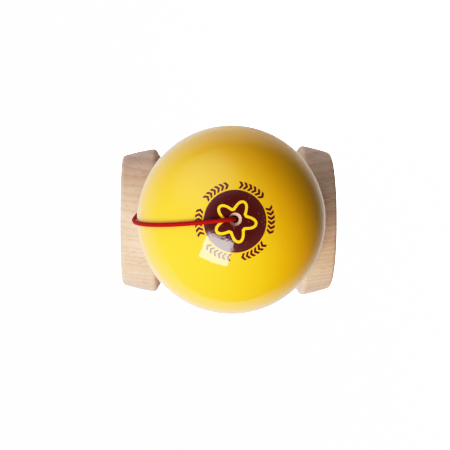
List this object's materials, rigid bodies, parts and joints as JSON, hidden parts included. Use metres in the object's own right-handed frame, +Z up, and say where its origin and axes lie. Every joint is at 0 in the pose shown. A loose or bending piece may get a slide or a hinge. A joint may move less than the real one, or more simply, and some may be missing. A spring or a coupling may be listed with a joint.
{
  "type": "cup-and-ball toy",
  "caption": "Wooden cup-and-ball toy on its base cup: ball on the handle's spike, cross-piece with two cups, cord wound below it.",
  "frame": {"origin": "on the surface the toy stands on, at the centre of the base cup's rim", "axes": "+Z up along the handle to its spike, +X to the big cup and -X to the small cup, -Y the side where the string leaves the cross-piece"},
  "size_m": [0.0726, 0.06, 0.1825],
  "materials": {
    "handle_wood": "bare sanded beech",
    "crosspiece_wood": "bare sanded beech",
    "ball_lacquer": "beech under gloss yellow lacquer, with a printed dark red disc round the string's hole",
    "bead": "bare turned wood",
    "string": "braided red nylon"
  },
  "bodies": {
    "ken": {"handle_with_spike": "handle_wood", "cup_crosspiece": "crosspiece_wood", "handle_knot": "string", "string_from_crosspiece": "string", "string_coil": "string", "string_up_to_ball": "string"},
    "string_head": {"string_over_ball": "string", "bead_knot": "string"},
    "ball": {"ball": "ball_lacquer"},
    "bead": {"swivel_bead": "bead"}
  },
  "joints": [
    {"name": "ball_lift", "type": "slide", "parent": "ken", "child": "string_head", "axis": [0, 0, 1], "range_m": [0, 0.05]},
    {"name": "ball_spin", "type": "hinge", "parent": "string_head", "child": "ball", "pos_m": [0, 0, 0.1511], "axis": [0, 0, 1], "continuous": true},
    {"name": "bead_spin", "type": "hinge", "parent": "string_head", "child": "bead", "pos_m": [0, 0, 0.17], "axis": [0, 0, 1], "continuous": true}
  ]
}
